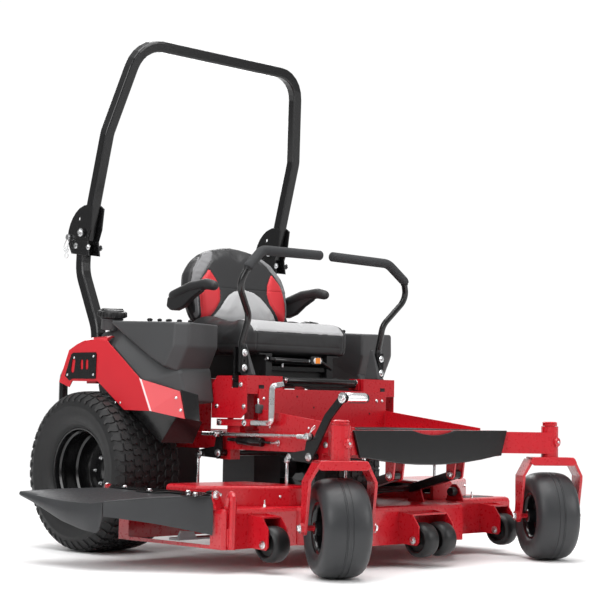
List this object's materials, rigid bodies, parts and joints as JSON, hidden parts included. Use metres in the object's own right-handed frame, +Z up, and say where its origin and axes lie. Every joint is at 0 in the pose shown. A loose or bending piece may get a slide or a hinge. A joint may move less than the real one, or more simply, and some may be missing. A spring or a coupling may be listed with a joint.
{
  "type": "zero turn mower",
  "caption": "Ride-on zero turn mower with lap bars, folding roll bar, front casters and a side-discharge deck under a steel frame.",
  "frame": {"origin": "on the ground, in the middle of the footprint of the whole machine with its chute down", "axes": "+Z up, -Y is the mower's front, +X is the operator's left"},
  "size_m": [1.835, 2.0274, 2.0215],
  "materials": {
    "red_paint": "gloss powder coat",
    "black_paint": "gloss powder coat",
    "grey_plastic": "lightly textured satin",
    "black_plastic": "satin",
    "tyre_rubber": "moulded rubber",
    "belt_rubber": "matt",
    "seat_vinyl": "grained vinyl",
    "grip_foam": "matt foam",
    "zinc_steel": "bright zinc plate",
    "blade_steel": "bare steel",
    "cast_alloy": "cast, slightly rough"
  },
  "bodies": {
    "chassis": {"main_frame": "red_paint", "front_beam": "red_paint", "front_cover": "black_paint", "foot_platform": "red_paint", "console_left": "red_paint", "console_right": "red_paint", "fuel_tank_left": "grey_plastic", "fuel_tank_right": "grey_plastic", "fender_left": "red_paint", "fender_right": "red_paint", "rear_guard": "black_paint", "rops_leg_left": "black_paint", "rops_leg_right": "black_paint", "engine_block": "cast_alloy", "engine_shroud": "black_plastic", "muffler": "black_paint", "hydro_drive_left": "cast_alloy", "hydro_drive_right": "cast_alloy"},
    "rops_hoop": {"rops_hoop": "black_paint"},
    "seat_platform": {"seat_platform": "black_paint"},
    "seat": {"seat_cushion": "seat_vinyl", "seat_back": "seat_vinyl"},
    "deck": {"deck_shell": "red_paint", "belt_cover_left": "red_paint", "belt_cover_right": "red_paint", "deck_belt": "belt_rubber"},
    "chute": {"discharge_chute": "grey_plastic"},
    "blade_centre": {"blade_centre": "blade_steel"},
    "roller_centre": {"roller_centre": "black_plastic"},
    "push_arms": {"front_push_arms": "black_paint"},
    "pedal": {"lift_pedal": "black_paint"},
    "rear_crank": {"rear_lift_crank": "black_paint"},
    "lift_rod": {"lift_rod": "zinc_steel"},
    "brake_lever": {"brake_lever": "zinc_steel"},
    "rops_pin_left": {"rops_pin_left": "zinc_steel"},
    "fuel_cap_left": {"fuel_cap_left": "black_plastic"},
    "rear_wheel_left": {"rear_tyre_left": "tyre_rubber", "rear_rim_left": "black_paint"},
    "caster_left": {"caster_fork_left": "red_paint"},
    "caster_wheel_left": {"caster_tyre_left": "tyre_rubber", "caster_rim_left": "black_paint"},
    "armrest_left": {"armrest_left": "seat_vinyl"},
    "lever_left": {"lever_base_left": "black_paint"},
    "lap_bar_left": {"lap_bar_left": "black_paint", "lap_grip_left": "grip_foam"},
    "blade_left": {"blade_left": "blade_steel"},
    "roller_left": {"roller_left": "black_plastic"},
    "rops_pin_right": {"rops_pin_right": "zinc_steel"},
    "fuel_cap_right": {"fuel_cap_right": "black_plastic"},
    "rear_wheel_right": {"rear_tyre_right": "tyre_rubber", "rear_rim_right": "black_paint"},
    "caster_right": {"caster_fork_right": "red_paint"},
    "caster_wheel_right": {"caster_tyre_right": "tyre_rubber", "caster_rim_right": "black_paint"},
    "armrest_right": {"armrest_right": "seat_vinyl"},
    "lever_right": {"lever_base_right": "black_paint"},
    "lap_bar_right": {"lap_bar_right": "black_paint", "lap_grip_right": "grip_foam"},
    "blade_right": {"blade_right": "blade_steel"},
    "roller_right": {"roller_right": "black_plastic"}
  },
  "joints": [
    {"name": "rops_fold", "type": "hinge", "parent": "chassis", "child": "rops_hoop", "pos_m": [0.1425, 0.59966, 1.24], "axis": [-1, 0, 0], "range_deg": [0, 92]},
    {"name": "seat_tilt", "type": "hinge", "parent": "chassis", "child": "seat_platform", "pos_m": [0.1425, -0.18034, 0.652], "axis": [1, 0, 0], "range_deg": [0, 38]},
    {"name": "seat_slide", "type": "slide", "parent": "seat_platform", "child": "seat", "axis": [0, -1, 0], "range_m": [-0.06, 0.06]},
    {"name": "deck_lift", "type": "slide", "parent": "chassis", "child": "deck", "axis": [0, 0, 1], "range_m": [0, 0.038]},
    {"name": "push_arm_pivot", "type": "hinge", "parent": "chassis", "child": "push_arms", "pos_m": [0.1425, -0.74034, 0.325], "axis": [1, 0, 0], "range_deg": [0, 11]},
    {"name": "pedal_pivot", "type": "hinge", "parent": "chassis", "child": "pedal", "pos_m": [0.1425, -0.53834, 0.386], "axis": [1, 0, 0], "range_deg": [0, 22.6]},
    {"name": "rear_crank_pivot", "type": "hinge", "parent": "chassis", "child": "rear_crank", "pos_m": [0.1425, -0.06034, 0.386], "axis": [1, 0, 0], "range_deg": [0, 22.6]},
    {"name": "lift_rod_travel", "type": "slide", "parent": "chassis", "child": "lift_rod", "axis": [0, -1, 0], "range_m": [0, 0.028]},
    {"name": "brake_lever_swing", "type": "hinge", "parent": "chassis", "child": "brake_lever", "pos_m": [-0.2365, -0.28034, 0.5], "axis": [0, -1, 0], "range_deg": [0, 30]},
    {"name": "chute_fold", "type": "hinge", "parent": "deck", "child": "chute", "pos_m": [-0.6395, -0.19034, 0.262], "axis": [0, 1, 0], "range_deg": [0, 80]},
    {"name": "blade_spin_centre", "type": "hinge", "parent": "deck", "child": "blade_centre", "pos_m": [0.1425, -0.42534, 0.2], "axis": [0, 0, 1], "continuous": true},
    {"name": "roller_spin_centre", "type": "hinge", "parent": "deck", "child": "roller_centre", "pos_m": [0.1425, -0.76834, 0.098], "axis": [1, 0, 0], "continuous": true},
    {"name": "rops_pin_pull_left", "type": "slide", "parent": "chassis", "child": "rops_pin_left", "axis": [1, 0, 0], "range_m": [0, 0.09]},
    {"name": "fuel_cap_turn_left", "type": "hinge", "parent": "chassis", "child": "fuel_cap_left", "pos_m": [0.6915, 0.39166, 0.8978], "axis": [0.0828, -0.1655, 0.9827], "range_deg": [0, 90]},
    {"name": "rear_wheel_spin_left", "type": "hinge", "parent": "chassis", "child": "rear_wheel_left", "pos_m": [0.7025, 0.40966, 0.305], "axis": [1, 0, 0], "continuous": true},
    {"name": "caster_swivel_left", "type": "hinge", "parent": "chassis", "child": "caster_left", "pos_m": [0.7125, -0.86534, 0.38], "axis": [0, 0, 1], "continuous": true},
    {"name": "caster_wheel_spin_left", "type": "hinge", "parent": "caster_left", "child": "caster_wheel_left", "pos_m": [0.72612, -0.84438, 0.165], "axis": [0.8387, -0.5446, 0], "continuous": true},
    {"name": "armrest_fold_left", "type": "hinge", "parent": "seat", "child": "armrest_left", "pos_m": [0.4465, 0.31966, 0.962], "axis": [-1, 0, 0], "range_deg": [0, 85]},
    {"name": "lever_drive_left", "type": "hinge", "parent": "chassis", "child": "lever_left", "pos_m": [0.5155, -0.15434, 0.632], "axis": [1, 0, 0], "range_deg": [-10, 14]},
    {"name": "lever_swing_left", "type": "hinge", "parent": "lever_left", "child": "lap_bar_left", "pos_m": [0.5155, -0.15834, 0.702], "axis": [0, 1, 0], "range_deg": [0, 25]},
    {"name": "blade_spin_left", "type": "hinge", "parent": "deck", "child": "blade_left", "pos_m": [0.6425, -0.24534, 0.2], "axis": [0, 0, 1], "continuous": true},
    {"name": "roller_spin_left", "type": "hinge", "parent": "deck", "child": "roller_left", "pos_m": [0.7625, -0.60034, 0.098], "axis": [1, 0, 0], "continuous": true},
    {"name": "rops_pin_pull_right", "type": "slide", "parent": "chassis", "child": "rops_pin_right", "axis": [-1, 0, 0], "range_m": [0, 0.09]},
    {"name": "fuel_cap_turn_right", "type": "hinge", "parent": "chassis", "child": "fuel_cap_right", "pos_m": [-0.4065, 0.39166, 0.8978], "axis": [-0.0828, -0.1655, 0.9827], "range_deg": [0, 90]},
    {"name": "rear_wheel_spin_right", "type": "hinge", "parent": "chassis", "child": "rear_wheel_right", "pos_m": [-0.4175, 0.40966, 0.305], "axis": [1, 0, 0], "continuous": true},
    {"name": "caster_swivel_right", "type": "hinge", "parent": "chassis", "child": "caster_right", "pos_m": [-0.4275, -0.86534, 0.38], "axis": [0, 0, 1], "continuous": true},
    {"name": "caster_wheel_spin_right", "type": "hinge", "parent": "caster_right", "child": "caster_wheel_right", "pos_m": [-0.415, -0.84369, 0.165], "axis": [0.866, -0.5, 0], "continuous": true},
    {"name": "armrest_fold_right", "type": "hinge", "parent": "seat", "child": "armrest_right", "pos_m": [-0.1615, 0.31966, 0.962], "axis": [-1, 0, 0], "range_deg": [0, 85]},
    {"name": "lever_drive_right", "type": "hinge", "parent": "chassis", "child": "lever_right", "pos_m": [-0.2305, -0.15434, 0.632], "axis": [1, 0, 0], "range_deg": [-10, 14]},
    {"name": "lever_swing_right", "type": "hinge", "parent": "lever_right", "child": "lap_bar_right", "pos_m": [-0.2305, -0.15834, 0.702], "axis": [0, -1, 0], "range_deg": [0, 25]},
    {"name": "blade_spin_right", "type": "hinge", "parent": "deck", "child": "blade_right", "pos_m": [-0.3575, -0.24534, 0.2], "axis": [0, 0, 1], "continuous": true},
    {"name": "roller_spin_right", "type": "hinge", "parent": "deck", "child": "roller_right", "pos_m": [-0.4775, -0.60034, 0.098], "axis": [1, 0, 0], "continuous": true}
  ],
  "couplings": [
    {"joint": "push_arm_pivot", "follows": "deck_lift", "rad_per_m": 4.777},
    {"joint": "pedal_pivot", "follows": "deck_lift", "rad_per_m": 10.33},
    {"joint": "rear_crank_pivot", "follows": "deck_lift", "rad_per_m": 10.33},
    {"joint": "lift_rod_travel", "follows": "deck_lift", "ratio": 0.708},
    {"joint": "blade_spin_left", "follows": "blade_spin_centre", "ratio": 1},
    {"joint": "blade_spin_right", "follows": "blade_spin_centre", "ratio": 1}
  ]
}
